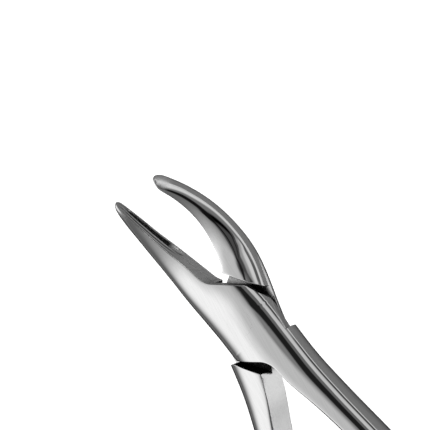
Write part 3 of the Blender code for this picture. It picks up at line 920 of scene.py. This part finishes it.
# Level of the room, and the cards in it: each lies over those before it
ROOM_LEVEL = 0.20
CARDS = (
    card(172, 92, 40, (35, 86), (25, 5), 0.82),              # overhead fill
    card(170, 45, 30, (16, 61), (19, 8), 1.50, slant=0.43),  # key light
    card(45, 25, 10, (72, 86), (3, 4), 0.32),                # its far end
    card(-38, 43, 6, (37, 92), (3, 1), 0.10),                # dark flag
    card(-38, 43, 6, (83, 92), (2, 1), 0.02),                # its black upper border
    card(-64, 5, 3, (45, 84), (4, 4), 0.01, lean=0.48),      # its black left border
    card(-32, 3, 2, (45, 80), (4, 4), 0.03),                 # its black right border
    card(-38, 22, 6, (10, 33), (5, 5), 0.27),                # low dim light
    card(-16, 18, 7, (-9, 17), (1, 6), 1.05),                # its brighter end
    card(-57, 27, 4, (38, 49), (3, 3), 0.0),                 # black lower border of the flag
    card(-63, 11, 4, (13, 48), (3, 3), 0.01, lean=-0.4),     # black corner below it
    card(-11, 11, 2, (32, 71), (5, 4), 0.50),                # tall strip light
    card(-8, 6, 4, (28, 58), (4, 6), 1.00),                  # its bright middle
    card(32, 30, 8, (18, 37.5), (4, 2), 0.88),               # low strip light beside the handles
    card(38, 36, 10, (51, 70), (2, 2), 0.02),                # black band
    card(34, 20, 4, (6, 13), (2, 3), 0.06),                  # black line over the horizon
    card(2, 40, 10, (-9, 4), (1, 2), 0.85),                  # bright strip at the horizon
    card(5, 11, 3, (-9, 38), (1, 3), 1.00),                  # bright upright strip
    card(-8, 2, 1.5, (16, 37), (4, 3), 0.15),                # dark line beside it
    card(0, 200, 1, (87, 92), (2.5, 1), 0.12),               # dark disc overhead
    card(10, 62, 14, (82.5, 92), (1.5, 1), 0.02),            # its black side
)
world = bpy.data.worlds.new("studio")
world.use_nodes = True
bpy.context.scene.world = world
tree = world.node_tree
direction = node(tree, "ShaderNodeTexCoord").outputs["Generated"]
upward = node(tree, "ShaderNodeSeparateXYZ", Vector=direction).outputs["Z"]
elevation = math_node(tree, "ARCSINE", upward)
light = ROOM_LEVEL
for one in CARDS:
    light = panel(tree, light, direction, elevation, one)
tree.links.new(light, tree.nodes["Background"].inputs["Color"])

bpy.context.scene.view_settings.view_transform = "Standard"

# Camera: pixels for a metre at the hinge, the hinge's place in the image and its distance
SCALE = 4796.0
PIVOT_PIXEL = (248.84, 320.66)
IMAGE = 430
DISTANCE = 0.3648
SENSOR = 36
right = Vector((0.7331, -0.4968, -0.4646))
up = Vector((0.4938, 0.8584, -0.1388))
toward = Vector((0.4678, -0.1276, 0.8746))
pivot = Vector((0, 0, HINGE_HEIGHT * MM))
aim = pivot + right * ((IMAGE / 2 - PIVOT_PIXEL[0]) / SCALE)
aim = aim + up * ((PIVOT_PIXEL[1] - IMAGE / 2) / SCALE)
place = pivot + toward * DISTANCE
back = (place - aim).normalized()
across = up.cross(back).normalized()
camera_data = bpy.data.cameras.new("camera")
camera_data.lens = SCALE * DISTANCE / IMAGE * SENSOR
camera_data.sensor_width = SENSOR
camera_data.clip_start = 0.01
camera = bpy.data.objects.new("camera", camera_data)
facing = Matrix((across, back.cross(across), back)).transposed()
camera.matrix_world = Matrix.Translation(place) @ facing.to_4x4()
bpy.context.scene.collection.objects.link(camera)
bpy.context.scene.camera = camera

# Floor, well below the object so that the polished flanks don't wash out
FLOOR_DROP = 0.50
FLOOR_REACH = 8
FLOOR_CORNERS = [(FLOOR_REACH * x, FLOOR_REACH * y, 0) for x, y in ((-1, -1), (1, -1), (1, 1), (-1, 1))]
floor_mesh = bpy.data.meshes.new("floor")
floor_mesh.from_pydata(FLOOR_CORNERS, [], [(0, 1, 2, 3)])
floor = bpy.data.objects.new("floor", floor_mesh)
floor.location.z = -FLOOR_DROP
bpy.context.scene.collection.objects.link(floor)
paper = bpy.data.materials.new("pale_table")
paper.use_nodes = True
shader = paper.node_tree.nodes["Principled BSDF"]
shader.inputs["Base Color"].default_value = (0.5, 0.5, 0.5, 1)
shader.inputs["Roughness"].default_value = 0.9
shader.inputs["Specular IOR Level"].default_value = 0.0
floor_mesh.materials.append(paper)


def floor_lamp(name, target, reach, radius, energy):
    """A spot lamp that lights a round patch of the floor beside the object, and misses the object."""
    data = bpy.data.lights.new(name, "SPOT")
    data.energy = energy
    data.spot_size = 2 * math.atan(radius / Vector(reach).length)
    data.spot_blend = 0.3
    data.shadow_soft_size = 0.05
    lamp = bpy.data.objects.new(name, data)
    lamp.location = target + Vector(reach)
    lamp.rotation_euler = (-Vector(reach)).to_track_quat("-Z", "Y").to_euler()
    lamp.visible_glossy = False
    bpy.context.scene.collection.objects.link(lamp)


sight = aim - place
behind = place + sight * ((-FLOOR_DROP - place.z) / sight.z)
floor_lamp("background_lamp", behind, (-0.4, 1.2, 2.0), 0.25, 520)
floor_lamp("side_lamp", Vector((0.30, -0.115, -FLOOR_DROP)), (1.3, 0.0, 2.0), 0.13, 540)
